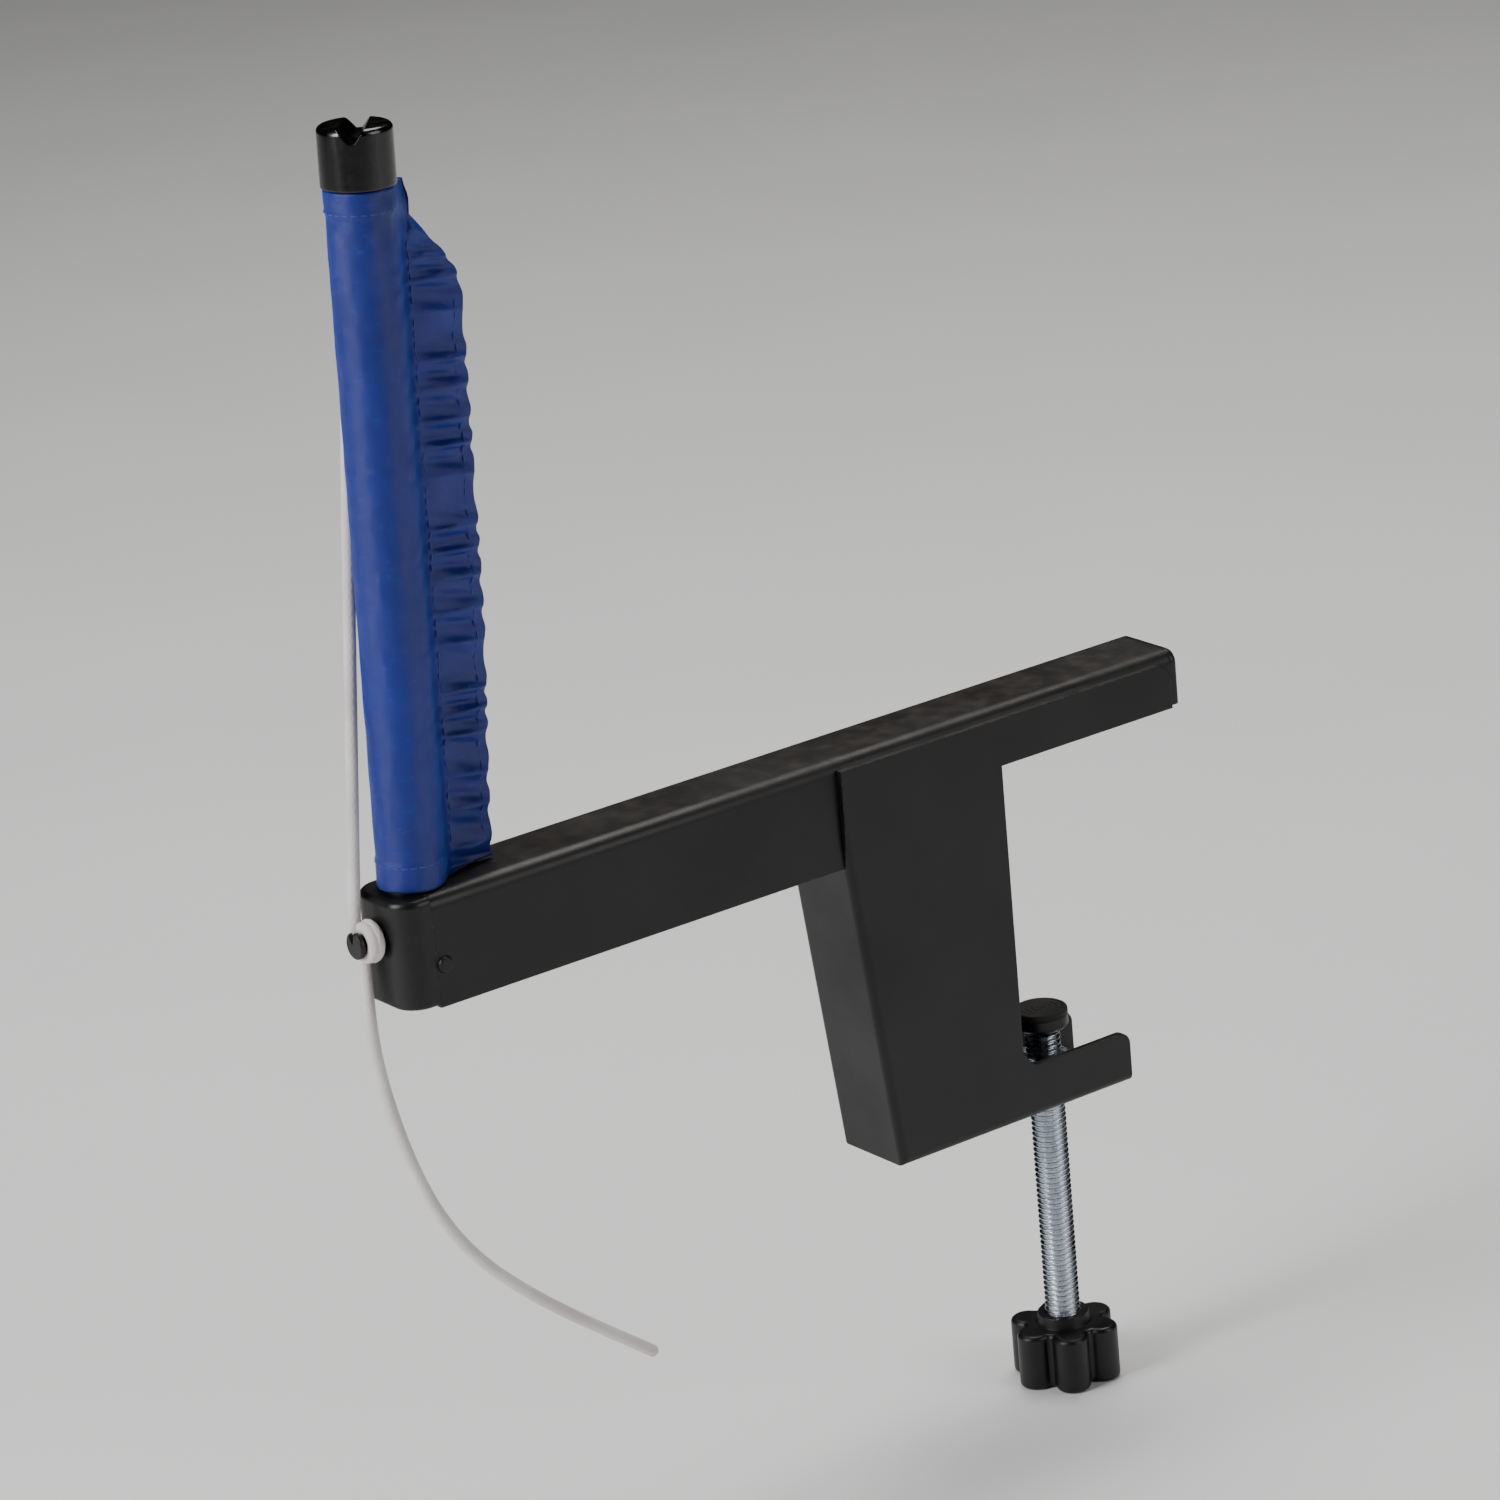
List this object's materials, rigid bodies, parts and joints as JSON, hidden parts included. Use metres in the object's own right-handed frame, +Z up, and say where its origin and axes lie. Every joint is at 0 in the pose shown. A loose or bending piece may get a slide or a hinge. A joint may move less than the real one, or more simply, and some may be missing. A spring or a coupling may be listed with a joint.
{
  "type": "table tennis net clamp",
  "caption": "C-shaped screw clamp with a long arm and a sleeved upright post, which holds one end of a table tennis net and its tension cord.",
  "frame": {"origin": "on the face of the upper jaw, where the clamp screw's axis meets it", "axes": "+Z up along the clamp screw, +Y in over the table along the net, the post stands at -Y"},
  "size_m": [0.0227, 0.2124, 0.3215],
  "materials": {
    "satin_black_steel": "satin black powder coat",
    "zinc_steel": "bright zinc plate",
    "black_plastic": "fine moulded texture",
    "gloss_black_plastic": "polished",
    "black_rubber": "matt",
    "blue_sleeve": "coated woven cloth with a sheen",
    "white_cord": "braided"
  },
  "bodies": {
    "frame": {"arm_channel": "satin_black_steel", "inner_end_plug": "black_plastic", "upper_jaw_pad": "black_rubber", "clamp_frame": "satin_black_steel", "weld_nut": "zinc_steel", "outer_end_plug": "black_plastic", "post_tube": "satin_black_steel", "post_rivet": "satin_black_steel", "post_cap": "gloss_black_plastic", "cord_peg": "black_plastic", "net_sleeve": "blue_sleeve", "cord_run": "white_cord", "cord_turns": "white_cord", "cord_tail": "white_cord"},
    "shoe": {"pad_shoe": "black_plastic", "pad_facing": "black_rubber"},
    "screw": {"clamp_screw": "zinc_steel", "clamp_knob": "black_plastic"}
  },
  "joints": [
    {"name": "clamp_travel", "type": "slide", "parent": "frame", "child": "shoe", "axis": [0, 0, 1], "range_m": [-0.006, 0.053]},
    {"name": "screw_spin", "type": "hinge", "parent": "shoe", "child": "screw", "pos_m": [0, 0, -0.1], "axis": [0, 0, 1], "range_deg": [-1760, 15300]}
  ],
  "couplings": [
    {"joint": "screw_spin", "follows": "clamp_travel", "rad_per_m": 5026.5}
  ]
}
